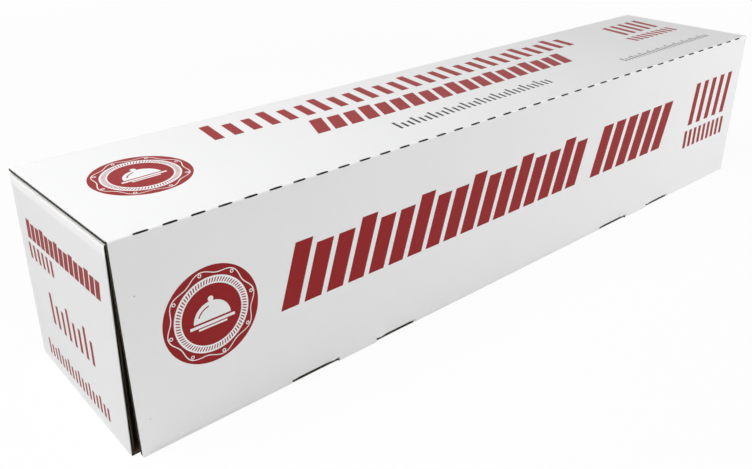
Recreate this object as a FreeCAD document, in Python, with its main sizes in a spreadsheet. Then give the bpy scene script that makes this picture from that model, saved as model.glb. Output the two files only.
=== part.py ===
import FreeCAD, Part
import os
import Sketcher

# A roll of catering foil in its corrugated dispenser carton. The carton is one folded
# blank: tray, back wall and lid. Its front flap swings on a cut crease along the top
# front edge, and two feet on the flap tuck into slots under the tray.
# Frame: origin at the middle of the tray's bottom face, +X to the right along the roll,
# +Y to the back, +Z up. All sizes are in millimetres.

doc = FreeCAD.newDocument("foil_carton")

SIZES = {
    # the corrugated board
    "board": 1.6,
    "layer_gap": 0.3,
    "fold_radius": 1.5,
    # the foil and its core
    "foil_width": 450,
    "foil_diameter": 77,
    "core_diameter": 57,
    "core_wall": 3.5,
    "core_fit": 0.1,
    "core_proud": 1,
    # the room that the carton leaves round the roll
    "end_play": 2.6,
    "side_play": 8.4,
    "head_room": 17.5,
    "roll_seat": 0.3,
    "back_lean": 5.5,
    # the slot over the tray's front wall, and the corner flaps
    "slot_height": 25,
    "corner_flap_length": 34,
    "corner_flap_bevel": 5,
    # the rolled-over double end walls
    "end_splay": 3,
    "end_fold_radius": 2.6,
    "end_fold_height": 4,
    "end_lap": 0.5,
    # the front flap, its crease and its feet
    "flap_gap": 2.6,
    "flap_rise": 1.1,
    "hinge_gap": 0.05,
    "crease_radius": 0.5,
    "foot_inset": 113.5,
    "foot_width": 76.4,
    "foot_depth": 24,
    "foot_bevel": 6,
    "foot_set": 0.3,
    "foot_clearance": 1,
    "neck_width": 23.6,
    "neck_bulge": 1,
    "neck_height": 8,
    "neck_radius": 0.9,
    "relief_gap": 0.3,
    "relief_peak": 0.7,
    "relief_taper": 3,
    # the perforation cut along the crease
    "dash_length": 6.3,
    "dash_pitch": 11.9,
    "dash_margin": 9.5,
    "dash_cut": 1,
    # the cutter
    "cutter_inset": 3,
    "cutter_width": 11,
    "cutter_thickness": 0.3,
    "tooth_pitch": 4,
    "tooth_height": 1.8,
}

sizes = doc.addObject("Spreadsheet::Sheet", "Sizes")
for row, (alias, value) in enumerate(SIZES.items(), start=1):
    sizes.set("A%d" % row, alias)
    sizes.set("B%d" % row, str(value))
    sizes.setAlias("B%d" % row, alias)


def derived(alias, formula):
    """Add a size that the sheet works out from the driving sizes."""
    row = len(SIZES) + 1
    SIZES[alias] = formula
    sizes.set("A%d" % row, alias)
    sizes.set("B%d" % row, "=" + formula)
    sizes.setAlias("B%d" % row, alias)


derived("end_ledge", "3 * board + 2 * layer_gap")
derived("carton_length", "foil_width + 2 * ( end_play + end_ledge )")
derived("tray_depth", "foil_diameter + 2 * ( board + side_play )")
derived("carton_height", "foil_diameter + roll_seat + head_room + 2 * board")
derived("half_length", "carton_length / 2")
derived("front", "-tray_depth / 2")
derived("back", "tray_depth / 2")
derived("lid_back", "back - back_lean")
derived("lid_under", "carton_height - board")
derived("flap_front", "front - flap_gap - board")
derived("flap_inside", "front - flap_gap")
derived("end_top", "lid_under - layer_gap")
derived("tray_half_length", "half_length - board - layer_gap")
derived("front_wall_height", "carton_height - slot_height")
derived("foot_spacing", "carton_length - 2 * foot_inset")
derived("foot_x", "-foot_spacing / 2")
derived("dash_run", "carton_length - 2 * dash_margin - dash_length")
derived("dash_count", "floor( dash_run / dash_pitch ) + 1")
derived("dash_x", "-(dash_count - 1) * dash_pitch / 2")
derived("roll_centre", "board + roll_seat + foil_diameter / 2")
derived("core_length", "foil_width + 2 * core_proud")
derived("cutter_length", "foil_width - 2 * cutter_inset")
derived("tooth_count", "floor( cutter_length / tooth_pitch )")
doc.recompute()


def bind(thing, name, formula):
    """Tie one property of an object to a formula of the sheet's sizes."""
    thing.setExpression(name, in_sheet(formula))


def in_sheet(formula):
    """Write a formula of aliases as one that other objects can read."""
    words = formula.replace("(", " ( ").replace(")", " ) ").split()
    out = []
    for word in words:
        sign = "-" if word.startswith("-") and len(word) > 1 else ""
        name = word[len(sign):]
        out.append(sign + ("Sizes." + name if name in SIZES else name))
    return " ".join(out)


def value(formula):
    """The number that a formula of the sheet's sizes gives."""
    return float(sizes.evalExpression(in_sheet(formula)))


def new_body(name):
    body = doc.addObject("PartDesign::Body", name)
    body.Label = name
    body.AllowCompound = True
    return body


def datum(body, role):
    """One of the body's own origin planes or axes, by its role."""
    return next(item for item in body.Origin.OriginFeatures if item.Role == role)


def new_sketch(body, name, plane, offset=None):
    """A sketch on an origin plane, moved along the plane's normal by an offset."""
    sketch = body.newObject("Sketcher::SketchObject", name)
    sketch.AttachmentSupport = [(datum(body, plane), "")]
    sketch.MapMode = "FlatFace"
    if offset:
        bind(sketch, "AttachmentOffset.Base.z", offset)
    return sketch


def hold(sketch, geometry, point, x, y):
    """Fix one point of the sketch at two formulas, measured from its origin."""
    for kind, axis, formula in (("DistanceX", -2, x), ("DistanceY", -1, y)):
        if formula == "0":
            sketch.addConstraint(Sketcher.Constraint("PointOnObject", geometry, point, axis))
            continue
        index = sketch.addConstraint(
            Sketcher.Constraint(kind, -1, 1, geometry, point, value(formula)))
        bind(sketch, "Constraints[%d]" % index, formula)


def outline(sketch, corners):
    """Draw a closed outline with straight sides through corners given as formulas."""
    points = [FreeCAD.Vector(value(x), value(y), 0) for x, y in corners]
    first = sketch.GeometryCount
    for index, start in enumerate(points):
        end = points[(index + 1) % len(points)]
        sketch.addGeometry(Part.LineSegment(start, end))
    for index in range(len(points)):
        following = (index + 1) % len(points)
        sketch.addConstraint(
            Sketcher.Constraint("Coincident", first + index, 2, first + following, 1))
        hold(sketch, first + index, 1, *corners[index])


def circle(sketch, x, y, diameter):
    """Draw a circle whose centre and diameter are formulas."""
    centre = FreeCAD.Vector(value(x), value(y), 0)
    index = sketch.addGeometry(
        Part.Circle(centre, FreeCAD.Vector(0, 0, 1), value(diameter) / 2))
    hold(sketch, index, 3, x, y)
    size = sketch.addConstraint(Sketcher.Constraint("Diameter", index, value(diameter)))
    bind(sketch, "Constraints[%d]" % size, diameter)


def extrude(body, kind, name, sketch, length, symmetric=False, reverse=False):
    """Pad or pocket a sketch by a formula."""
    feature = body.newObject("PartDesign::" + kind, name)
    feature.Profile = sketch
    feature.SideType = "Symmetric" if symmetric else "One side"
    feature.Reversed = reverse
    bind(feature, "Length", length)
    body.Tip = feature
    doc.recompute()
    return feature


def round_edges(body, name, radius, chosen):
    """Fillet every edge of the body's last feature that the test chooses."""
    base = body.Tip
    names = ["Edge%d" % (index + 1) for index, edge in enumerate(base.Shape.Edges)
             if chosen(edge.BoundBox)]
    fillet = body.newObject("PartDesign::Fillet", name)
    fillet.Base = (base, names)
    bind(fillet, "Radius", radius)
    body.Tip = fillet
    doc.recompute()
    return fillet


def repeat(body, name, originals, count, spacing):
    """Repeat features along X, a number of times at a spacing."""
    pattern = body.newObject("PartDesign::LinearPattern", name)
    pattern.Originals = originals
    pattern.Direction = (datum(body, "X_Axis"), [""])
    pattern.Mode = "Spacing"
    bind(pattern, "Offset", spacing)
    bind(pattern, "Occurrences", count)
    body.Tip = pattern
    doc.recompute()
    return pattern


def near(a, b):
    return abs(a - b) < 0.01


def along_x_at(y, z):
    """A test for edges that run along X at the given place."""
    def test(box):
        flat = near(box.YMin, box.YMax) and near(box.ZMin, box.ZMax)
        return flat and near(box.YMin, value(y)) and near(box.ZMin, value(z))
    return test


def make_tray_section():
    """Front wall, bottom and back wall: one strip of board with two folds. The back
    wall leans forward, and two slots in the front fold take the flap's feet."""
    body = new_body("tray_section")
    section = new_sketch(body, "tray_outline", "YZ_Plane")
    outline(section, [
        ("front", "front_wall_height"),
        ("front", "0"),
        ("back", "0"),
        ("lid_back", "lid_under"),
        ("lid_back - board", "lid_under"),
        ("back - board", "board"),
        ("front + board", "board"),
        ("front + board", "front_wall_height"),
    ])
    extrude(body, "Pad", "tray_strip", section, "2 * tray_half_length", symmetric=True)
    folds = [along_x_at("front", "0"), along_x_at("back", "0")]
    round_edges(body, "tray_folds", "fold_radius", lambda box: any(f(box) for f in folds))
    slots = new_sketch(body, "foot_slot_outline", "XY_Plane")
    for side in ("-foot_spacing / 2", "foot_spacing / 2"):
        outline(slots, [
            (side + " - foot_width / 2 - foot_clearance", "flap_front"),
            (side + " + foot_width / 2 + foot_clearance", "flap_front"),
            (side + " + foot_width / 2 + foot_clearance", "flap_front + foot_depth + foot_clearance"),
            (side + " - foot_width / 2 - foot_clearance", "flap_front + foot_depth + foot_clearance"),
        ])
    extrude(body, "Pocket", "foot_slots", slots, "2 * ( board + relief_gap )", symmetric=True)
    return body


def make_lid():
    """The lid's top panel, with the fold into the back wall rounded."""
    body = new_body("lid_panel")
    section = new_sketch(body, "lid_outline", "YZ_Plane")
    outline(section, [
        ("flap_inside + hinge_gap", "lid_under"),
        ("lid_back", "lid_under"),
        ("lid_back", "carton_height"),
        ("flap_inside + hinge_gap", "carton_height"),
    ])
    extrude(body, "Pad", "lid_plate", section, "carton_length", symmetric=True)
    round_edges(body, "lid_fold", "fold_radius", along_x_at("lid_back", "carton_height"))
    return body


def end_outline(sketch, splay):
    """The hook that the end wall's board makes: foot, outer panel, ledge, inner panel."""
    ledge_in = "-half_length + end_ledge"
    outline(sketch, [
        (ledge_in + " + end_lap", "0"),
        ("-half_length - " + splay, "0"),
        ("-half_length", "end_top - end_fold_height"),
        ("-half_length", "end_top"),
        (ledge_in, "end_top"),
        (ledge_in, "board + layer_gap"),
        (ledge_in + " - board", "board + layer_gap"),
        (ledge_in + " - board", "end_top - board"),
        ("-half_length + board", "end_top - board"),
        ("-half_length + board", "end_top - end_fold_height"),
        ("-half_length - " + splay + " + board", "board"),
        (ledge_in + " + end_lap", "board"),
    ])


def make_end_wall():
    """The left end: an outer panel that stands out at its front foot, rolled over into
    an inner panel, with the corner flaps of the front and back walls held between."""
    body = new_body("end_wall")
    at_front = new_sketch(body, "end_at_front", "XZ_Plane", "back")
    end_outline(at_front, "end_splay")
    at_back = new_sketch(body, "end_at_back", "XZ_Plane", "front")
    end_outline(at_back, "0")
    hook = body.newObject("PartDesign::AdditiveLoft", "end_hook")
    hook.Profile = at_back
    hook.Sections = [at_front]
    hook.Ruled = True
    body.Tip = hook
    doc.recompute()

    top = value("end_top")
    outer = value("-half_length")
    inner = value("-half_length + end_ledge")
    round_edges(body, "end_top_folds", "end_fold_radius", lambda box: (
        near(box.ZMin, top) and near(box.ZMax, top) and near(box.XMin, box.XMax)
        and (near(box.XMin, outer) or near(box.XMin, inner))))

    # the inner panel and the ledge stop short of the front and back walls
    trims = new_sketch(body, "end_trim_outline", "YZ_Plane", "-half_length + board")
    outline(trims, [
        ("front - board", "board"),
        ("front + board + layer_gap", "board"),
        ("front + board + layer_gap", "carton_height"),
        ("front - board", "carton_height"),
    ])
    outline(trims, [
        ("back + board", "board"),
        ("back + board", "carton_height"),
        ("lid_back - board - layer_gap", "carton_height"),
        ("back - board - layer_gap", "board"),
    ])
    extrude(body, "Pocket", "end_trims", trims, "end_ledge", reverse=True)

    # the outer panel's back edge follows the leaning back wall
    lean = new_sketch(body, "end_lean_outline", "YZ_Plane")
    outline(lean, [
        ("back", "0"),
        ("back + board", "0"),
        ("back + board", "lid_under"),
        ("lid_back", "lid_under"),
    ])
    extrude(body, "Pocket", "end_lean_cut", lean, "2 * carton_length", symmetric=True)

    # the corner flaps of the front and back walls
    flaps = new_sketch(body, "corner_flap_outline", "YZ_Plane", "-tray_half_length")
    outline(flaps, [
        ("front", "board + layer_gap"),
        ("front + corner_flap_length", "board + layer_gap + corner_flap_bevel"),
        ("front + corner_flap_length", "front_wall_height - corner_flap_bevel"),
        ("front", "front_wall_height"),
    ])
    outline(flaps, [
        ("back - board", "board + layer_gap"),
        ("lid_back - board / 2", "end_top - board - layer_gap"),
        ("lid_back - corner_flap_length", "end_top - board - layer_gap - corner_flap_bevel"),
        ("lid_back - corner_flap_length", "board + layer_gap + corner_flap_bevel"),
    ])
    extrude(body, "Pad", "corner_flaps", flaps, "board")
    return body


def make_carton():
    """The folded blank, joined from its panels: both ends are the same, mirrored."""
    tray = make_tray_section()
    lid = make_lid()
    left = make_end_wall()
    right = doc.addObject("Part::Mirroring", "end_wall_right")
    right.Source = left
    right.Normal = FreeCAD.Vector(1, 0, 0)
    carton = doc.addObject("Part::MultiFuse", "carton")
    carton.Shapes = [tray, lid, left, right]
    carton.Refine = True
    carton.Label = "carton"
    doc.recompute()
    return carton


def make_front_flap():
    """The flap over the tray's front: a panel with a perforated crease at its top, and
    two feet that fold under the tray on narrow necks."""
    body = new_body("front_flap")
    panel = new_sketch(body, "flap_outline", "XZ_Plane", "-flap_front")
    outline(panel, [
        ("-half_length", "flap_rise"),
        ("half_length", "flap_rise"),
        ("half_length", "carton_height"),
        ("-half_length", "carton_height"),
    ])
    extrude(body, "Pad", "flap_panel", panel, "board", reverse=True)
    round_edges(body, "crease_round", "crease_radius",
                along_x_at("flap_front", "carton_height"))

    # the panel's lower edge is cut up over each foot, higher beside the neck
    relief = new_sketch(body, "relief_outline", "XZ_Plane", "-flap_front")
    over_foot = "board + relief_gap"
    for sign in ("-", "+"):
        away = "foot_x %s " % sign
        outline(relief, [
            (away + "neck_width / 2", "0"),
            (away + "neck_width / 2", over_foot + " + relief_peak"),
            (away + "( neck_width / 2 + relief_taper )", over_foot),
            (away + "( foot_width / 2 - relief_taper )", over_foot),
            (away + "( foot_width / 2 + foot_set )", "flap_rise"),
            (away + "( foot_width / 2 + foot_set )", "0"),
        ])
    relief_cut = extrude(body, "Pocket", "foot_reliefs", relief, "2 * board", symmetric=True)

    foot = new_sketch(body, "foot_outline", "XY_Plane")
    outline(foot, [
        ("foot_x - foot_width / 2", "flap_front + foot_set"),
        ("foot_x + foot_width / 2", "flap_front + foot_set"),
        ("foot_x + foot_width / 2", "flap_front + foot_depth - foot_bevel"),
        ("foot_x + foot_width / 2 - foot_bevel", "flap_front + foot_depth"),
        ("foot_x - foot_width / 2 + foot_bevel", "flap_front + foot_depth"),
        ("foot_x - foot_width / 2", "flap_front + foot_depth - foot_bevel"),
    ])
    foot_pad = extrude(body, "Pad", "foot", foot, "board")

    neck = new_sketch(body, "neck_outline", "YZ_Plane", "foot_x")
    outline(neck, [
        ("flap_front", "neck_height"),
        ("flap_front - neck_bulge", "board"),
        ("flap_front - neck_bulge", "0"),
        ("flap_inside + board", "0"),
        ("flap_inside + board", "board"),
        ("flap_inside", "board"),
        ("flap_inside", "neck_height"),
    ])
    neck_pad = extrude(body, "Pad", "neck", neck, "neck_width", symmetric=True)
    repeat(body, "both_feet", [relief_cut, foot_pad, neck_pad], "2", "foot_spacing")
    round_edges(body, "neck_rounds", "neck_radius",
                along_x_at("flap_front - neck_bulge", "0"))

    # the cut dashes of the crease, open towards the outside corner
    dash = new_sketch(body, "dash_outline", "YZ_Plane", "dash_x")
    outline(dash, [
        ("flap_front - board", "carton_height - dash_cut"),
        ("flap_front + dash_cut", "carton_height - dash_cut"),
        ("flap_front + dash_cut", "carton_height + board"),
        ("flap_front - board", "carton_height + board"),
    ])
    first_dash = extrude(body, "Pocket", "dash", dash, "dash_length", symmetric=True)
    repeat(body, "dashes", [first_dash], "dash_count", "dash_pitch")
    return body


def make_tube(name, outer, inner, length):
    """A tube along X whose centre line is the roll's."""
    body = new_body(name)
    rings = new_sketch(body, name + "_rings", "YZ_Plane")
    circle(rings, "0", "roll_centre", outer)
    circle(rings, "0", "roll_centre", inner)
    extrude(body, "Pad", name + "_tube", rings, length, symmetric=True)
    return body


def make_cutter_strip():
    """A steel strip with teeth along its top edge, fixed flat on the tray's front wall."""
    body = new_body("cutter_strip")
    strip = new_sketch(body, "strip_outline", "XZ_Plane", "-front + cutter_thickness")
    outline(strip, [
        ("-cutter_length / 2", "front_wall_height + tooth_height - cutter_width"),
        ("cutter_length / 2", "front_wall_height + tooth_height - cutter_width"),
        ("cutter_length / 2", "front_wall_height + tooth_height"),
        ("-cutter_length / 2", "front_wall_height + tooth_height"),
    ])
    extrude(body, "Pad", "strip", strip, "cutter_thickness", reverse=True)
    notch = new_sketch(body, "notch_outline", "XZ_Plane", "-front")
    left_end = "-cutter_length / 2"
    outline(notch, [
        (left_end, "front_wall_height + tooth_height + board"),
        (left_end, "front_wall_height + tooth_height"),
        (left_end + " + tooth_pitch / 2", "front_wall_height"),
        (left_end + " + tooth_pitch", "front_wall_height + tooth_height"),
        (left_end + " + tooth_pitch", "front_wall_height + tooth_height + board"),
    ])
    first_notch = extrude(body, "Pocket", "notch", notch, "2 * board", symmetric=True)
    repeat(body, "teeth", [first_notch], "tooth_count", "tooth_pitch")
    return body


nodes = [
    make_carton(),
    make_front_flap(),
    make_tube("foil_roll", "foil_diameter", "core_diameter + 2 * core_fit", "foil_width"),
    make_tube("core_tube", "core_diameter", "core_diameter - 2 * core_wall", "core_length"),
    make_cutter_strip(),
]
doc.recompute()

for item in doc.Objects:
    if "Invalid" in item.State or "Error" in item.State:
        raise RuntimeError("%s failed: %s" % (item.Label, item.State))
for node in nodes:
    if node.Shape.isNull() or not node.Shape.isValid():
        raise RuntimeError("%s has no valid shape" % node.Label)

os.makedirs("parts", exist_ok=True)
for node in nodes:
    node.Shape.exportStep("parts/%s.step" % node.Label)
    box = node.Shape.BoundBox
    print("%-14s solids %d  volume %.0f mm3  x %.1f %.1f  y %.1f %.1f  z %.1f %.1f" % (
        node.Label, len(node.Shape.Solids), node.Shape.Volume,
        box.XMin, box.XMax, box.YMin, box.YMax, box.ZMin, box.ZMax))
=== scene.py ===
import math

import bmesh
import bpy
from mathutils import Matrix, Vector


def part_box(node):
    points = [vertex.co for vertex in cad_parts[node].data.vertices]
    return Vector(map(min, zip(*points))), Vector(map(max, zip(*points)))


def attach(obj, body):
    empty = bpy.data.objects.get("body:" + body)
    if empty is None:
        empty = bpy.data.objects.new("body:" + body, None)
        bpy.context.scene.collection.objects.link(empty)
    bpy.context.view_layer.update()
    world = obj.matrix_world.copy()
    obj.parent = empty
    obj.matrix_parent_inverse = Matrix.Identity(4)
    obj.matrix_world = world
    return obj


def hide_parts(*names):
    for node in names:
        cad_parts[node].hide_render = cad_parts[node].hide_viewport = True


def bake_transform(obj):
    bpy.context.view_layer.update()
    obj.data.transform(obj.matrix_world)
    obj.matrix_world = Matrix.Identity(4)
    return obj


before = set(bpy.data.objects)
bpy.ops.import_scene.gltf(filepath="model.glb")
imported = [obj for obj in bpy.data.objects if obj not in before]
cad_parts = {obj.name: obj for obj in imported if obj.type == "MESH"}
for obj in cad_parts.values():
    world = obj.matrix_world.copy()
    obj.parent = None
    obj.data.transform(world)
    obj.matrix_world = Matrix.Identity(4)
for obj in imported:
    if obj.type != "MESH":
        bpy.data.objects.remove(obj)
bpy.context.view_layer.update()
scene = bpy.context.scene
scene.view_settings.view_transform = "Standard"


# The camera stands before the carton's left end, above its top, and looks down
# along the front.
sensor_width = 36.0
focal_length = 39.382
eye = (-0.33244, -0.30831, 0.22914)
tilt_roll_turn = (63.4852, 0.2282, -41.5242)

camera = bpy.data.objects.new("camera", bpy.data.cameras.new("camera"))
camera.data.sensor_width = sensor_width
camera.data.lens = focal_length
camera.location = eye
camera.rotation_euler = [math.radians(angle) for angle in tilt_roll_turn]
scene.collection.objects.link(camera)
scene.camera = camera


# The studio: a plain pale floor and plain surroundings that the camera, metal and glass
# see as white. Square lamps stand above and beyond the left end, and off to the right.
floor_half = 6.0
floor_pale = (0.84, 0.84, 0.84, 1.0)
floor_shade = (0.79, 0.79, 0.79, 1.0)
floor_grain = 900.0
floor_roughness = 0.8
floor_whiteness = 0.94
white_from = 0.45
white_to = 1.1
pure_white = (1.0, 1.0, 1.0, 1.0)
sky_light = 0.12
lamps = [
    # name, place, aimed at, side, power
    ("lamp_above_left", (-0.7, 0.2, 1.2), (-0.3, 0.0, 0.05), 0.8, 4.4),
    ("lamp_near_left", (-0.5, 0.05, 0.75), (-0.25, 0.0, 0.1), 0.5, 3.85),
    ("lamp_left", (-1.8, 0.2, 0.7), (-0.2, 0.0, 0.05), 1.0, 3.75),
    ("lamp_right", (1.3, -0.9, 0.45), (0.2, 0.0, 0.05), 0.8, 14.1),
    ("lamp_front_right", (0.9, -1.5, 0.6), (0.2, 0.0, 0.05), 1.0, 6.5),
]


class Wire:
    """A socket in a node tree. Arithmetic on it adds Math nodes, and node() adds any other."""

    def __init__(self, tree, socket=None):
        self.tree = tree
        self.socket = socket

    def node(self, kind, settings=None, values=None, out=0):
        """A new node: its type, its settings, then the values or links of its sockets."""
        made = self.tree.nodes.new(kind)
        for name, setting in (settings or {}).items():
            setattr(made, name, setting)
        for key, given in (values or {}).items():
            if isinstance(given, Wire):
                self.tree.links.new(given.socket, made.inputs[key])
            else:
                made.inputs[key].default_value = given
        return Wire(self.tree, made.outputs[out])

    def maths(self, operation, *values):
        settings = {"operation": operation}
        return self.node("ShaderNodeMath", settings, dict(enumerate(values)))

    def __add__(self, other):
        return self.maths("ADD", self, other)

    def __radd__(self, other):
        return self.maths("ADD", other, self)

    def __sub__(self, other):
        return self.maths("SUBTRACT", self, other)

    def __rsub__(self, other):
        return self.maths("SUBTRACT", other, self)

    def __mul__(self, other):
        return self.maths("MULTIPLY", self, other)

    def __rmul__(self, other):
        return self.maths("MULTIPLY", other, self)

    def __truediv__(self, other):
        return self.maths("DIVIDE", self, other)

    def __rtruediv__(self, other):
        return self.maths("DIVIDE", other, self)

    def __gt__(self, other):
        return self.maths("GREATER_THAN", self, other)

    def __lt__(self, other):
        return self.maths("LESS_THAN", self, other)

    def __or__(self, other):
        return self.maths("MAXIMUM", self, other)

    def __and__(self, other):
        return self.maths("MINIMUM", self, other)

    def __abs__(self):
        return self.maths("ABSOLUTE", self)

    def __mod__(self, other):
        return self.maths("FLOORED_MODULO", self, other)

    def split(self):
        """The three parts of a vector."""
        parts = self.node("ShaderNodeSeparateXYZ", None, {0: self})
        return [Wire(self.tree, output) for output in parts.socket.node.outputs]


def empty_tree(owner):
    """Clears the owner's node tree and gives a Wire to build in it."""
    owner.use_nodes = True
    owner.node_tree.nodes.clear()
    return Wire(owner.node_tree)


def object_place(start):
    """Object coordinates in metres, which are the frame's own at rest."""
    return start.node("ShaderNodeTexCoord", out=3)


def hypotenuse(a, b):
    """The length of the line that goes a one way and b square to it."""
    return a.maths("SQRT", a * a + b * b)


def blend_colours(share, first, second):
    """first where share is 0 and second where it is 1."""
    settings = {"data_type": "RGBA"}
    return share.node("ShaderNodeMix", settings, {0: share, 6: first, 7: second}, out=2)


def noise(where, scale, detail=2.0):
    """Soft noise from 0 to 1 at a place, with as many grains to a unit as scale says."""
    values = {"Vector": where, "Scale": scale, "Detail": detail, "Roughness": 0.5}
    return where.node("ShaderNodeTexNoise", {"noise_dimensions": "3D"}, values)


def end_tree(shader, kind="ShaderNodeOutputMaterial"):
    """Joins the last shader to the tree's output node."""
    output = shader.tree.nodes.new(kind)
    shader.tree.links.new(shader.socket, output.inputs["Surface"])


def seen_directly(start):
    """1 for what the camera, a mirror or glass sees, and 0 for light on other surfaces."""
    outputs = start.node("ShaderNodeLightPath").socket.node.outputs
    camera_ray = Wire(start.tree, outputs["Is Camera Ray"])
    glossy_ray = Wire(start.tree, outputs["Is Glossy Ray"])
    clear_ray = Wire(start.tree, outputs["Is Transmission Ray"])
    return camera_ray | glossy_ray | clear_ray


def make_floor_paper():
    """Pale paper that is seen nearly white, and quite white far from the carton."""
    material = bpy.data.materials.new("floor_paper")
    start = empty_tree(material)
    place = object_place(start)
    tone = blend_colours(noise(place, floor_grain), floor_shade, floor_pale)
    paper = start.node("ShaderNodeBsdfPrincipled", None,
                       {"Base Color": tone, "Roughness": floor_roughness})
    glow = start.node("ShaderNodeEmission", None, {"Color": pure_white, "Strength": 1.0})
    x, y, _ = place.split()
    fade = ((hypotenuse(x, y) - white_from) / (white_to - white_from) | 0.0) & 1.0
    share = seen_directly(start) * (fade * (1.0 - floor_whiteness) + floor_whiteness)
    end_tree(start.node("ShaderNodeMixShader", None, {0: share, 1: paper, 2: glow}))
    return material


def make_floor():
    mesh = bpy.data.meshes.new("floor")
    corners = [(-1, -1), (1, -1), (1, 1), (-1, 1)]
    spots = [(floor_half * x, floor_half * y, 0.0) for x, y in corners]
    mesh.from_pydata(spots, [], [(0, 1, 2, 3)])
    mesh.materials.append(make_floor_paper())
    floor = bpy.data.objects.new("floor", mesh)
    scene.collection.objects.link(floor)


def make_surroundings():
    world = bpy.data.worlds.new("surroundings")
    start = empty_tree(world)
    light = start.node("ShaderNodeBackground", None, {"Color": pure_white, "Strength": sky_light})
    white = start.node("ShaderNodeBackground", None, {"Color": pure_white, "Strength": 1.0})
    mixed = start.node("ShaderNodeMixShader", None, {0: seen_directly(start), 1: light, 2: white})
    end_tree(mixed, "ShaderNodeOutputWorld")
    scene.world = world


def make_lamp(name, place, aim, side, power):
    lamp = bpy.data.lights.new(name, "AREA")
    lamp.shape = "SQUARE"
    lamp.size = side
    lamp.energy = power
    holder = bpy.data.objects.new(name, lamp)
    holder.location = place
    holder.rotation_euler = (Vector(aim) - Vector(place)).to_track_quat("-Z", "Y").to_euler()
    scene.collection.objects.link(holder)


make_floor()
make_surroundings()
for lamp_row in lamps:
    make_lamp(*lamp_row)


# The core: a tube of grey-brown chipboard, wound from strips of paper in a spiral and
# glued, and cut square a little longer than the foil.
core_low, core_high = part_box("core_tube")
core_middle = (core_low + core_high) / 2
strip_lead = 0.105
seam_half = 0.006
seam_strength = 0.8
card_fibres = 700.0
card_blotches = 60.0
card_roughness = 0.85
card_relief = 0.00012
core_brown = (0.30, 0.215, 0.14, 1.0)
core_pale = (0.40, 0.30, 0.20, 1.0)
core_seam = (0.13, 0.09, 0.055, 1.0)


def from_line(place, centre):
    """The way along a line that runs along X, and the ways across and up from it."""
    x, y, z = place.split()
    return x, y - centre.y, z - centre.z


def turn_of(across, up):
    """The angle of a place seen from the middle, in radians from -pi to pi."""
    return up.maths("ARCTAN2", up, across)


def bumped(height, depth):
    """A normal bent by a height of up to depth metres."""
    values = {"Height": height, "Distance": depth, "Strength": 1.0}
    return height.node("ShaderNodeBump", None, values)


def dress(name, material):
    """Gives a CAD node its material."""
    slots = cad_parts[name].data.materials
    slots.clear()
    slots.append(material)


def make_core_card():
    material = bpy.data.materials.new("spiral_chipboard")
    start = empty_tree(material)
    place = object_place(start)
    x, across, up = from_line(place, core_middle)
    helix = (x / strip_lead + turn_of(across, up) / (2 * math.pi)) % 1.0
    seam = abs(helix - 0.5) < seam_half
    fibres = noise(place, card_fibres, 4.0)
    blotches = noise(place, card_blotches)
    tone = blend_colours(fibres * 0.6 + blotches * 0.4, core_brown, core_pale)
    tone = blend_colours(seam * seam_strength, tone, core_seam)
    values = {"Base Color": tone, "Roughness": card_roughness,
              "Normal": bumped(fibres * 0.4 - seam, card_relief)}
    end_tree(start.node("ShaderNodeBsdfPrincipled", None, values))
    return material


dress("core_tube", make_core_card())


# The foil: bright rolled aluminium, wound tightly on the core. The last turn ends in a
# loose edge at the top front, where the fingers find it.
roll_low, roll_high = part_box("foil_roll")
roll_middle = (roll_low + roll_high) / 2
roll_radius = (roll_high.z - roll_low.z) / 2
core_clearance = 0.0001
roll_bore = core_high.z - core_middle.z + core_clearance
edge_turn = math.radians(128.0)
loose_arc = math.radians(26.0)
edge_step = 0.0004
edge_lift = 0.0012
edge_waves = 31.0
edge_wander = 13.0
dimple_depth = 0.00006
dimple_waves = 90.0
around = 180
along = 150
rolling_lines = 9000.0
rolling_bands = 260.0
lines_round = 6.0
bands_round = 3.0
end_layer = 0.00045
end_skin = 0.0004
dent_scale = 42.0
dent_height = 0.45
crease_scale = 85.0
crease_height = 0.30
mark_height = 0.02
foil_roughness = 0.17
foil_colour = (0.84, 0.85, 0.86, 1.0)
foil_shadow = (0.66, 0.67, 0.69, 1.0)
millimetre = 0.001


def make_foil_metal():
    material = bpy.data.materials.new("bright_foil")
    start = empty_tree(material)
    place = object_place(start)
    x, across, up = from_line(place, roll_middle)
    turn = turn_of(across, up) / (2 * math.pi)
    fine = {"X": x * rolling_lines, "Y": turn * lines_round, "Z": 0.0}
    lines = noise(start.node("ShaderNodeCombineXYZ", None, fine), 1.0, 3.0)
    broad = {"X": x * rolling_bands, "Y": turn * bands_round, "Z": 0.0}
    bands = noise(start.node("ShaderNodeCombineXYZ", None, broad), 1.0)
    on_end = abs(x) > roll_high.x - end_skin
    layer_angle = hypotenuse(across, up) * (2 * math.pi / end_layer)
    layers = start.maths("SINE", layer_angle) * 0.5 + 0.5
    marks = lines * (1 - on_end) + layers * on_end
    tone = blend_colours(marks * 0.5 + bands * 0.3, foil_colour, foil_shadow)
    rough = foil_roughness + lines * 0.10 + bands * 0.06 + on_end * 0.18
    dents = noise(place, dent_scale, 3.0)
    creases = abs(noise(place, crease_scale) - 0.5)
    height = marks * mark_height + dents * dent_height - creases * crease_height
    values = {"Base Color": tone, "Metallic": 1.0, "Roughness": rough,
              "Normal": bumped(height, millimetre)}
    end_tree(start.node("ShaderNodeBsdfPrincipled", None, values))
    return material


def quad(shape, corners, smooth=True):
    shape.faces.new(corners).smooth = smooth


def finish_mesh(name, shape, material, sharp_angle):
    """Turns a built shape into an object of that name, with sharp edges past an angle."""
    bmesh.ops.recalc_face_normals(shape, faces=shape.faces)
    mesh = bpy.data.meshes.new(name)
    shape.to_mesh(mesh)
    shape.free()
    mesh.materials.append(material)
    mesh.set_sharp_from_angle(angle=math.radians(sharp_angle))
    made = bpy.data.objects.new(name, mesh)
    scene.collection.objects.link(made)
    return made


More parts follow.
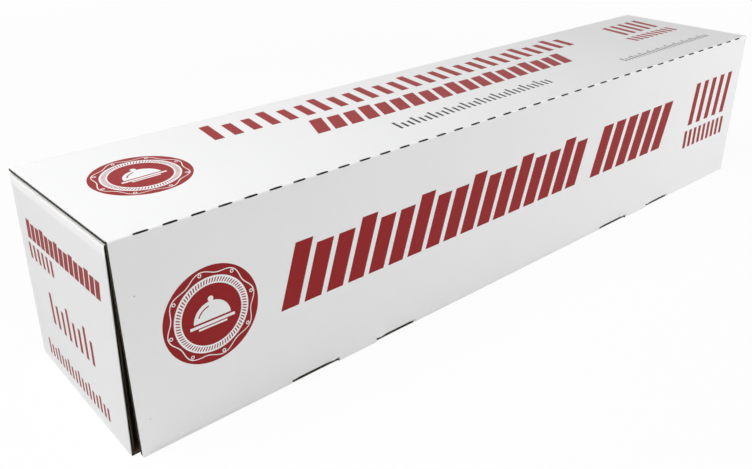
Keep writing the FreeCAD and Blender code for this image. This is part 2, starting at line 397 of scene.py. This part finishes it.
def foil_reach(part, k):
    """How far the last turn lies from the roll's middle: a spiral with a step at its edge."""
    share = (-k % around) / around
    reach = roll_radius - edge_step * share
    loose = 1 - share * 2 * math.pi / loose_arc
    if loose > 0:
        wander = 2.0 * math.sin(part * edge_wander)
        wave = 0.65 + 0.35 * math.sin(part * edge_waves + wander)
        reach += (edge_lift - edge_step) * loose * loose * wave
    return reach


def foil_ring(shape, x, reaches):
    """A ring of points round the roll's middle line, from the loose edge on."""
    ring = []
    for k, reach in enumerate(reaches):
        angle = edge_turn - 2 * math.pi * k / around
        y = roll_middle.y + reach * math.cos(angle)
        z = roll_middle.z + reach * math.sin(angle)
        ring.append(shape.verts.new((x, y, z)))
    return ring


def make_foil_roll():
    shape = bmesh.new()
    rings = []
    for i in range(along + 1):
        part = i / along
        reaches = []
        for k in range(around):
            angle = edge_turn - 2 * math.pi * k / around
            sway = 3.0 * math.sin(angle * 2.0)
            dimple = dimple_depth * math.sin(part * dimple_waves + sway)
            reaches.append(min(foil_reach(part, k) + dimple, roll_radius + edge_lift))
        rings.append(foil_ring(shape, roll_low.x + (roll_high.x - roll_low.x) * part, reaches))
    left, right = [foil_ring(shape, x, [roll_bore] * around) for x in (roll_low.x, roll_high.x)]
    for first, second in zip(rings, rings[1:]):
        for k in range(around):
            n = (k + 1) % around
            quad(shape, (first[k], first[n], second[n], second[k]))
    for k in range(around):
        n = (k + 1) % around
        quad(shape, (rings[0][n], rings[0][k], left[k], left[n]), smooth=False)
        quad(shape, (rings[-1][k], rings[-1][n], right[n], right[k]), smooth=False)
        quad(shape, (left[n], left[k], right[k], right[n]))
    roll = finish_mesh("foil_winding", shape, make_foil_metal(), 50.0)
    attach(roll, "box")
    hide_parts("foil_roll")


make_foil_roll()


# The carton: one blank of thin corrugated board, clay-coated white outside and plain kraft
# inside. Its walls stand on the bottom, the ends are rolled over from the outside and held
# by the corner flaps, and the lid is folded from the back wall.

# Sizes are in millimetres, here and below.
board = 1.6
layer_gap = 0.3
carton_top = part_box("carton")[1].z * 1000
carton_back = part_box("carton")[1].y * 1000
carton_front = -carton_back
half_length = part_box("front_flap")[1].x * 1000
lid_under = carton_top - board
lid_back = 43.0
back_lean = (carton_back - lid_back) / lid_under
end_top = lid_under - layer_gap
fold_start = end_top - 4.0
tray_half = half_length - board - layer_gap
ledge_half = half_length - 3 * board - 2 * layer_gap
wall_top = 73.0
slots_half = 200.0
foot_splay = 3.0

# Masks mark a face by its place and by which way it is turned.
hair = 0.1
touch = 0.02
face_near = 0.4
edge_near = 0.5
corner_near = 0.7
fold_near = 1.0
end_shy = 0.25
turned = 0.5
leaning = 0.05

liner = 0.28
flute_pitch = 3.4
flute_paper = 0.15
flute_margin = 0.14
lid_crush = 0.62
panel_squeeze = 0.09
swell_start = 89.5
swell_curve = 0.07
board_specular = 0.13
kraft_roughness = 0.80
coat_gloss = 0.32
ink_gloss = 0.06
kraft_relief = 0.035
coat_cover = 0.85
coat_relief = 0.14
rib_relief = 0.005
cut_relief = 0.25
paper_fibres = 1400.0
kraft_cloud = 130.0
coat_cloud = 18.0
white_coat = (0.855, 0.855, 0.855, 1.0)
white_shade = (0.825, 0.826, 0.828, 1.0)
kraft = (0.36, 0.235, 0.125, 1.0)
kraft_dark = (0.27, 0.165, 0.085, 1.0)
# Cut edges carry painted shade. The hollows between the flutes are near black, and the flute paper
# is much darker than the kraft inside, for the shade among the open flutes.
cut_brown_shaded = (0.070, 0.060, 0.040, 1.0)
cut_pale_shaded = (0.125, 0.108, 0.076, 1.0)
flute_hollow_shade = (0.010, 0.009, 0.006, 1.0)
# Painted shade: near black on the notches under the crease's dashes.
slit_painted_shade = (0.040, 0.042, 0.038, 1.0)
print_red = (0.300, 0.014, 0.016, 1.0)
print_deep = (0.260, 0.011, 0.013, 1.0)
print_black = (0.030, 0.028, 0.030, 1.0)
print_grey = (0.22, 0.22, 0.225, 1.0)

# A roundel's middle across and up its face, and its radius.
long_roundel = (-195.2, 52.6, 22.1)
lid_roundel = (-194.6, -3.1, 21.8)

# A row of bars: left, right, low, high, bars, a bar's share of its step, how far a bar's
# top leans to the right, and the height of every bar but the first of each three.
end_rows = [
    (-35.0, 40.5, 67.6, 77.2, 15, 0.82, 1.0, 0.90),
    (-36.5, -8.0, 57.0, 65.0, 6, 0.50, 0.0, 1.0),
    (-22.6, 25.5, 29.0, 45.2, 8, 0.42, 0.0, 0.74),
    (-37.4, 32.0, 5.6, 14.2, 18, 0.50, 0.0, 0.78),
]
long_rows = [
    (-162.0, 60.5, 39.9, 70.4, 17, 0.76, 9.5, 0.88),
    (62.5, 151.0, 40.0, 70.0, 6, 0.74, 9.5, 1.0),
    (171.5, 227.0, 47.5, 75.6, 5, 0.50, 3.5, 1.0),
    (169.5, 223.5, 31.6, 43.8, 9, 0.54, 0.0, 1.0),
]
lid_red_rows = [
    (-149.0, 135.0, 12.2, 32.8, 26, 0.50, 3.0, 0.80),
    (-108.0, 101.0, -13.0, 5.4, 19, 0.74, 8.0, 0.90),
    (174.0, 224.0, 4.2, 27.0, 5, 0.48, 4.0, 1.0),
    (165.5, 219.0, -10.4, -1.0, 9, 0.54, 0.0, 1.0),
]
lid_black_rows = [(-73.6, 48.0, -33.8, -24.6, 30, 0.40, 1.5, 0.70)]
lid_grey_rows = [(114.5, 217.5, -35.4, -29.2, 30, 0.46, 1.0, 0.70)]


def between(value, low, high):
    """1 where low < value < high."""
    return (value > low) * (value < high)


def disc(p, q, radius):
    """1 inside a round spot."""
    return (p * p + q * q) < radius * radius


def circle(p, q, radius, half):
    """1 on a round line that reaches half its width to either side of the radius."""
    return abs(hypotenuse(p, q) - radius) < half


def bars(u, v, left, right, low, high, count, fill, lean, short):
    rise = (v - low) / (high - low)
    step = (u - left - rise * lean) * (count / (right - left - lean))
    height = 1.0
    if short < 1.0:
        whole_step = step - step % 1.0
        height = short + (1.0 - short) * ((whole_step % 3.0) < 0.5)
    return ((step % 1.0) < fill) * between(step, 0.0, count) * (rise > 0.0) * (rise < height)


def printed_rows(u, v, rows):
    """All the rows of bars in one ink on one face."""
    printed = bars(u, v, *rows[0])
    for row in rows[1:]:
        printed = printed | bars(u, v, *row)
    return printed


def covered_dish(p, q):
    """A dome with a knob and a streak of shine, on a plate with a foot."""
    lift = q + 0.10
    dome = disc(p, lift, 0.39) * (q > -0.085)
    shine = circle(p, lift, 0.30, 0.014) * (p < -0.05) * (q > 0.02)
    knob = disc(p, q - 0.335, 0.0583)
    plate = (abs(p) < 0.47) * between(q, -0.185, -0.125)
    foot = (abs(p) < 0.30) * between(q, -0.25, -0.21)
    return (dome - shine) | knob | plate | foot


def printed_roundel(u, v, across, up, radius):
    """A disc with a wavy line and small rings along its rim, a pale band filled with
    short strokes, and a covered dish in the middle. Its sizes are shares of the radius."""
    waves = 8
    strokes = 76
    p = (u - across) / radius
    q = (v - up) / radius
    far = hypotenuse(p, q)
    turn = turn_of(p, q)
    wave = abs(far - 0.885 - turn.maths("SINE", turn * waves) * 0.045) < 0.010
    aside = (turn * (waves / (2 * math.pi)) + 0.25) % 1.0 - 0.5
    curl = circle(aside * (2 * math.pi * 0.89 / waves), far - 0.875, 0.030, 0.009)
    stroke = (turn * (strokes / (2 * math.pi)) + far * 5.0) % 1.0 < 0.42
    band = between(far, 0.625, 0.780) * (1 - stroke * between(far, 0.655, 0.745))
    return (far < 1.0) * (1 - (wave | curl | band | covered_dish(p, q)))


def long_print(u, v):
    """A long side's roundel and its rows of bars."""
    return printed_roundel(u, v, *long_roundel) | printed_rows(u, v, long_rows)


def always(x, y, z, nx, ny, nz):
    return x * 0.0 + 1.0


def nothing(x, y, z, nx, ny, nz):
    return x * 0.0


def make_board(name, outside=always, cut_edge=nothing, depth=nothing, run=nothing, red=nothing,
               black=nothing, grey=nothing, specks=nothing, slit=nothing, swell=nothing):
    """Corrugated board. outside and cut_edge are 1 where the white coat and the cut
    edges show, and plain kraft is the rest; the cut edges carry painted shade, near
    black in their flutes' hollows. depth is how far a point on a cut edge lies from the
    white face, run its place along the edge, slit 1 in the cuts, which are painted near
    black as shade, and swell the height that a fold adds to the surface, in millimetres."""
    material = bpy.data.materials.new(name)
    start = empty_tree(material)
    place = object_place(start)
    facing = start.node("ShaderNodeTexCoord", out=1)
    scaled = {0: place, "Scale": 1000.0}
    mm = start.node("ShaderNodeVectorMath", {"operation": "SCALE"}, scaled)
    x, y, z = mm.split()
    spot = [x, y, z] + facing.split()
    white = outside(*spot)
    edge = cut_edge(*spot)
    through = depth(*spot)
    ripple = start.maths("SINE", run(*spot) * (2 * math.pi / flute_pitch))
    middle = board / 2 + ripple * (board / 2 - liner - flute_margin)
    paper = (abs(through - middle) < flute_paper) | (through > board - liner)
    coated = (through < liner) * edge
    fibres = noise(place, paper_fibres, 3.0)
    cloud = noise(place, coat_cloud)

    coat = blend_colours(cloud * 0.7 + fibres * 0.3, white_shade, white_coat)
    ink = red(*spot) * white
    marked = blend_colours(ink, coat, blend_colours(fibres, print_deep, print_red))
    marked = blend_colours(black(*spot) * white, marked, print_black)
    marked = blend_colours((grey(*spot) | specks(*spot)) * white, marked, print_grey)
    mottle = fibres * 0.5 + noise(place, kraft_cloud, 3.0) * 0.5
    plain = blend_colours(mottle, kraft_dark, kraft)
    # Painted shade on the cut edges: near black in the flutes' hollows and dark brown on their
    # paper.
    cut = blend_colours(paper, flute_hollow_shade, blend_colours(fibres, cut_brown_shaded, cut_pale_shaded))
    cut = blend_colours(coated * 0.8, cut, coat)
    tone = blend_colours(edge, blend_colours(white, plain, marked), cut)
    # Painted shade: the notches under the slits are painted near black.
    tone = blend_colours(slit(*spot), tone, slit_painted_shade)

    rough = kraft_roughness - white * coat_gloss - ink * ink_gloss + fibres * 0.05
    ribs = start.maths("SINE", (y + z) * (2 * math.pi / flute_pitch))
    height = fibres * (1.0 - white * coat_cover) * kraft_relief + cloud * white * coat_relief
    height = height + ribs * rib_relief + paper * edge * cut_relief + swell(*spot)
    values = {"Base Color": tone, "Roughness": rough, "Specular IOR Level": board_specular,
              "Normal": bumped(height, millimetre)}
    end_tree(start.node("ShaderNodeBsdfPrincipled", None, values))
    return material


def carton_outside(x, y, z, nx, ny, nz):
    top = (z > carton_top - fold_near) * (nz > leaning)
    back = (y + z * back_lean > carton_back - corner_near) * (ny > leaning)
    back = back * ((abs(x) < tray_half + hair) | (z > lid_under - hair))
    below = (z < corner_near) * (nz < -leaning)
    front = (y < carton_front + corner_near) * (ny < -leaning) * (abs(x) < tray_half + hair)
    end = (abs(x) > half_length - 2 * hair) * (abs(nx) > 0.3) * (z < end_top + hair)
    roll = (abs(x) > ledge_half - face_near) * between(z, fold_start - hair, end_top + hair)
    roll = roll * (nz > touch)
    inner = (abs(abs(x) - ledge_half) < face_near) * (abs(nx) > turned)
    return top | back | below | front | end | roll | inner


def carton_edge(x, y, z, nx, ny, nz):
    lid = (abs(x) > half_length - hair / 2) * (z > lid_under - hair) * (abs(nx) > turned)
    panel = (abs(x) > tray_half + hair / 2) * (z < lid_under - hair) * (abs(ny) > turned)
    wall = (nz > turned) * (y < carton_front + board + face_near)
    wall = wall * (abs(z - wall_top) < edge_near)
    slots = (z < board + hair) * (abs(x) < slots_half) * (abs(nx) > turned)
    # Painted shade: the ends of the tray's walls, deep in the gaps beside the end panels, are
    # painted as dark cut edges.
    shaded_wall_end = between(abs(x), tray_half - 2 * hair, half_length - end_shy)
    shaded_wall_end = shaded_wall_end * (abs(nx) > turned) * (z < fold_start - layer_gap)
    return lid | panel | wall | slots | shaded_wall_end


def end_face(y, z):
    """How far out the end panel's face stands: it leans out towards its front foot."""
    lean = (1.0 - z / fold_start) * (carton_back - y) / (carton_back - carton_front)
    return half_length + (lean * foot_splay | 0.0)


def carton_depth(x, y, z, nx, ny, nz):
    lid = z > lid_under - hair
    crushed = lid * (carton_top - z) * lid_crush
    panel = (1 - lid) * (abs(ny) > turned) * (end_face(y, z) - abs(x))
    wall = (1 - lid) * ((nz > turned) | (abs(nx) > turned)) * (y - carton_front)
    return crushed + panel + wall


def carton_run(x, y, z, nx, ny, nz):
    lid = z > lid_under - hair
    return lid * y + (1 - lid) * z * panel_squeeze


def end_swell(x, y, z, nx, ny, nz):
    """The rolled fold rounds off the end panel's top over some millimetres."""
    above = (z - swell_start) | 0.0
    on_end = (abs(x) > half_length - edge_near) * (z < end_top + hair)
    return 0.0 - above * above * swell_curve * on_end


def lid_face(z, nz):
    return (z > carton_top - edge_near) * (nz > turned)


def carton_red(x, y, z, nx, ny, nz):
    lid = printed_roundel(x, y, *lid_roundel) | printed_rows(x, y, lid_red_rows)
    left = (x < -half_length + edge_near) * (nx < -turned)
    right = (x > half_length - edge_near) * (nx > turned)
    ends = printed_rows(right * y - left * y, z, end_rows) * (left | right)
    behind = (ny > turned) * (y > lid_back - 3.0) * (abs(x) < tray_half - hair)
    return lid_face(z, nz) * lid | ends | behind * long_print(0 - x, z)


def carton_black(x, y, z, nx, ny, nz):
    return lid_face(z, nz) * printed_rows(x, y, lid_black_rows)


def carton_grey(x, y, z, nx, ny, nz):
    return lid_face(z, nz) * printed_rows(x, y, lid_grey_rows)


dress("carton", make_board(
    "carton_board", carton_outside, carton_edge, carton_depth, carton_run,
    carton_red, carton_black, carton_grey, swell=end_swell))


# The cutting edge: a thin steel strip with teeth, stamped and fixed flat on the upper
# edge of the tray's front wall, behind the flap.
stroke_along = 60.0
stroke_up = 9000.0
smear_scale = 90.0
steel_roughness = 0.26
steel_relief = 0.00001
steel_colour = (0.60, 0.60, 0.61, 1.0)
steel_shadow = (0.42, 0.42, 0.44, 1.0)


def make_steel():
    material = bpy.data.materials.new("brushed_strip_steel")
    start = empty_tree(material)
    place = object_place(start)
    x, y, z = place.split()
    stretched = {"X": x * stroke_along, "Y": y * stroke_along, "Z": z * stroke_up}
    strokes = noise(start.node("ShaderNodeCombineXYZ", None, stretched), 1.0, 3.0)
    smears = noise(place, smear_scale)
    tone = blend_colours(strokes * 0.6 + smears * 0.4, steel_colour, steel_shadow)
    values = {"Base Color": tone, "Metallic": 1.0, "Roughness": steel_roughness + strokes * 0.16,
              "Normal": bumped(strokes, steel_relief)}
    end_tree(start.node("ShaderNodeBsdfPrincipled", None, values))
    return material


dress("cutter_strip", make_steel())


# The front flap: a panel of the same board that hangs from the perforated crease along
# the lid's front edge. Two feet on narrow necks tuck under the tray.
neck_swell = 1.0
neck_half = 11.8
neck_bend = 0.9
foot_top = board
foot_middle = 119.5
foot_squeeze = 0.05
cut_high = 2.6
edge_high = 3.2
print_low = 4.0
flap_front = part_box("front_flap")[0].y * 1000 + neck_swell
flap_inside = flap_front + board
slit_depth = 1.1
slit_floor = 0.9
speck_strength = 0.6
specks = [
    # across, up, radius
    (-226.2, 73.3, 0.346),
    (-227.5, 17.0, 0.265),
]


def on_neck(x):
    """1 within the width of the two necks, and a hair more."""
    return abs(abs(x) - foot_middle) < neck_half + hair / 2


def flap_outside(x, y, z, nx, ny, nz):
    face = (y < flap_front + liner / 2) | (z > carton_top - fold_near) | on_neck(x)
    crease = (z > carton_top - edge_near) * (nz > turned)
    below = (z < neck_bend) * (nz < -leaning)
    neck = (y < flap_front) * (abs(nx) > turned) * (z > cut_high)
    return face * (ny < -leaning) | crease | below | neck


def flap_edge(x, y, z, nx, ny, nz):
    side = (abs(nx) > turned) * (z < carton_top - touch)
    side = side * ((abs(x) > half_length - fold_near) | (z < cut_high))
    low = between(z, neck_bend, edge_high) * (nz < -turned)
    toe = (z < foot_top) * (ny < -turned) * (1 - on_neck(x))
    tip = (z < foot_top) * (ny > turned)
    return side | low | toe | tip


def flap_depth(x, y, z, nx, ny, nz):
    foot = z < foot_top + touch
    return foot * z + (1 - foot) * (y - flap_front)


def flap_run(x, y, z, nx, ny, nz):
    side = (abs(nx) > turned) * (z > foot_top)
    return side * z + (1 - side) * x * foot_squeeze


def front_face(y, ny):
    return (ny < -turned) * (y < flap_front + hair / 2)


def flap_red(x, y, z, nx, ny, nz):
    return front_face(y, ny) * (z > print_low) * long_print(x, z)


def flap_specks(x, y, z, nx, ny, nz):
    """Two small dark marks near the left end."""
    first, second = [disc(x - across, z - up, radius) for across, up, radius in specks]
    return (first | second) * (ny < -turned) * speck_strength


# The notches under the crease's dashes are painted near black, as the shade seen through the cuts.
def flap_slit_shade(x, y, z, nx, ny, nz):
    inside = between(z, carton_top - slit_depth, carton_top - hair)
    inside = inside * between(y, flap_front + touch, flap_inside + 2 * hair)
    floor = (nz > turned) * (z < carton_top - slit_floor)
    wall = (y > flap_front + slit_floor) * (ny < -turned)
    end = (abs(nx) > turned) * (abs(x) < half_length - fold_near)
    return inside * (floor | wall | end)


dress("front_flap", make_board(
    "flap_board", flap_outside, flap_edge, flap_depth, flap_run,
    flap_red, specks=flap_specks, slit=flap_slit_shade))


# The crease: the board's white outer paper bends over from the lid to the flap along the
# whole front edge. A perforating rule has cut it in dashes, which gape a little.
dash_count = 38
dash_step = 11.9
dash_half = 3.2
dash_shoulder = 0.88 * dash_half
paper_lift = 0.12
paper_bend = 0.80
paper_sheet = 0.12
# The paper thins out on both sides: the place, and its height over the board.
lid_taper = [(-43.0, 0.008), (-45.5, 0.03), (-48.5, 0.09), (-51.3, paper_lift)]
flap_taper = [(96.6, paper_lift), (94.0, 0.09), (91.0, 0.03), (88.5, 0.008)]
bridge_angle = 27.0
slit_end = 38.0
slit_shoulder = 16.0
slit_middle = 10.0
lip = 0.06
shoulder_lip = 0.6 * lip
slit_first = len(lid_taper) + 1


def crease_section(edge_angle, raised):
    """The paper's outer and inner line across the crease, from the lid down to the flap.
    The two rows at edge_angle bound a slit, whose lips are raised."""
    centre_y = flap_front - paper_lift + paper_bend
    centre_z = carton_top + paper_lift - paper_bend
    outer = [(y, carton_top + lift) for y, lift in lid_taper]
    inner = [(y, carton_top - touch) for y, lift in lid_taper]
    for angle in (0.0, edge_angle, 45.0, 90.0 - edge_angle, 90.0):
        turn = math.radians(90.0 + angle)
        reach = paper_bend
        if angle in (edge_angle, 90.0 - edge_angle):
            reach += raised
        for line, radius in ((outer, reach), (inner, reach - paper_sheet)):
            line.append((centre_y + radius * math.cos(turn), centre_z + radius * math.sin(turn)))
    outer += [(flap_front - lift, z) for z, lift in flap_taper]
    inner += [(flap_front + touch, z) for z, lift in flap_taper]
    return outer, inner


def crease_stations():
    """Places along the crease: x, the rows' angle, the lips' height, and 1 if a slit follows."""
    stations = [(-half_length, bridge_angle, 0.0, 0)]
    for k in range(dash_count):
        middle = (k - (dash_count - 1) / 2) * dash_step
        stations.append((middle - dash_half, slit_end, 0.0, 1))
        stations.append((middle - dash_shoulder, slit_shoulder, shoulder_lip, 1))
        stations.append((middle, slit_middle, lip, 1))
        stations.append((middle + dash_shoulder, slit_shoulder, shoulder_lip, 1))
        stations.append((middle + dash_half, slit_end, 0.0, 0))
        if k < dash_count - 1:
            stations.append((middle + dash_step / 2, bridge_angle, 0.0, 0))
    stations.append((half_length, bridge_angle, 0.0, 0))
    return stations


def section_points(shape, x, lines):
    """The points of a section's lines at x, from millimetres to metres."""
    return [[shape.verts.new((x / 1000, y / 1000, z / 1000)) for y, z in line] for line in lines]


def make_crease():
    shape = bmesh.new()
    stations = crease_stations()
    sheets = [section_points(shape, x, crease_section(angle, raised))
              for x, angle, raised, opens in stations]
    opens = [station[3] for station in stations]
    last = len(sheets[0][0]) - 1
    slit_rows = (slit_first, slit_first + 1)
    for k, ((outer, inner), (next_outer, next_inner)) in enumerate(zip(sheets, sheets[1:])):
        for i in range(last):
            if not (opens[k] and i in slit_rows):
                quad(shape, (outer[i], outer[i + 1], next_outer[i + 1], next_outer[i]))
                quad(shape, (inner[i + 1], inner[i], next_inner[i], next_inner[i + 1]))
        lips = (slit_first, slit_first + 2) if opens[k] else ()
        for i in (0, last) + lips:
            quad(shape, (outer[i], inner[i], next_inner[i], next_outer[i]))
    for outer, inner in (sheets[0], sheets[-1]):
        for i in range(last):
            quad(shape, (outer[i], outer[i + 1], inner[i + 1], inner[i]))
    for k in range(1, len(sheets)):
        if opens[k] != opens[k - 1]:
            outer, inner = sheets[k]
            for i in slit_rows:
                quad(shape, (outer[i], outer[i + 1], inner[i + 1], inner[i]))
    unused = [vert for vert in shape.verts if not vert.link_faces]
    bmesh.ops.delete(shape, geom=unused, context="VERTS")
    paper = finish_mesh("crease_paper", shape, make_board("crease_paper_board"), 50.0)
    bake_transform(paper)


make_crease()


# The necks: where the board bends under the tray it swells a little, and the swelling
# runs out softly into the flap's face on both sides and above.
neck_clear = 0.2
neck_fade = 8.0
neck_top = 8.0
neck_soft = 2.0
neck_sides = 8
neck_columns = 8
neck_rows = 20
relief_low = 1.92
relief_peak = 0.7
relief_run = 3.0
skin = 0.01


def neck_reach(u, z):
    """How far the board swells out of the flap's face, u from the neck's middle."""
    down = neck_top - z
    if down < -neck_soft:
        ramp = 0.0
    elif down < neck_soft:
        ramp = (down + neck_soft) ** 2 / (4 * neck_soft)
    else:
        ramp = down
    out = min(neck_swell * ramp / (neck_top - board), neck_swell)
    aside = min(max((abs(u) - neck_half - neck_clear) / neck_fade, 0.0), 1.0)
    return out * (1 - aside * aside * (3 - 2 * aside)) + skin


def neck_foot(u):
    """The height where the swelling ends: the neck's bend, or the cut over the foot."""
    aside = abs(u) - neck_half
    if aside <= skin:
        return neck_bend
    return relief_low + relief_peak * max(1 - aside / relief_run, 0.0)


def neck_places():
    """Places across a neck from its middle, from one side's end to the other's."""
    side = neck_half + neck_fade + neck_clear
    left = [-side + i * (side - neck_half) / neck_sides for i in range(neck_sides)]
    left.append(-neck_half - touch)
    middle = [-neck_half + i * 2 * neck_half / neck_columns for i in range(neck_columns + 1)]
    return left + middle + [-u for u in reversed(left)]


def make_neck(shape, middle):
    fronts = []
    backs = []
    for u in neck_places():
        low = neck_foot(u)
        rise = (neck_top + neck_soft - low) / neck_rows
        heights = [low + rise * k for k in range(neck_rows + 1)]
        front = [(flap_front - neck_reach(u, z), z) for z in heights]
        back = [(flap_front + skin, z) for z in heights]
        front_points, back_points = section_points(shape, middle + u, (front, back))
        fronts.append(front_points)
        backs.append(back_points)
    for front, back, next_front, next_back in zip(fronts, backs, fronts[1:], backs[1:]):
        for k in range(neck_rows):
            quad(shape, (front[k], next_front[k], next_front[k + 1], front[k + 1]))
            quad(shape, (back[k + 1], next_back[k + 1], next_back[k], back[k]))
        for k in (0, neck_rows):
            quad(shape, (front[k], back[k], next_back[k], next_front[k]))
    for front, back in ((fronts[0], backs[0]), (fronts[-1], backs[-1])):
        for k in range(neck_rows):
            quad(shape, (front[k], front[k + 1], back[k + 1], back[k]))


def make_necks():
    shape = bmesh.new()
    for middle in (-foot_middle, foot_middle):
        make_neck(shape, middle)
    necks = finish_mesh("neck_swellings", shape, make_board("neck_board"), 40.0)
    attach(necks, "flap")


make_necks()


# The flap's lower edge: the cutting rule has drawn the white outer paper down over the
# raw edge by a millimetre, so it hides the gap under the panel. It stops at the cuts over the feet.
cut_half = 38.5
cut_clear = 0.4
cut_start = foot_middle - cut_half - cut_clear
cut_end = foot_middle + cut_half + cut_clear
hem_end = half_length - touch
hem_runs = [(-hem_end, -cut_end), (-cut_start, cut_start), (cut_end, hem_end)]
hem_top = 2.0
hem_bottom = 0.08
hem_round = 0.17
hem_depth = 0.25


def make_lower_edge():
    front = flap_front - skin
    back = front + hem_depth
    section = [(front, hem_top), (front, hem_bottom + hem_round),
               (front + hem_depth / 2, hem_bottom), (back, hem_bottom), (back, hem_top)]
    shape = bmesh.new()
    for run in hem_runs:
        left, right = [section_points(shape, x, (section,))[0] for x in run]
        shape.faces.new(left)
        shape.faces.new(right)
        for i in range(len(section)):
            k = (i + 1) % len(section)
            quad(shape, (left[i], left[k], right[k], right[i]), smooth=False)
    edge = finish_mesh("flap_lower_edge", shape, make_board("lower_edge_board"), 50.0)
    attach(edge, "flap")


make_lower_edge()
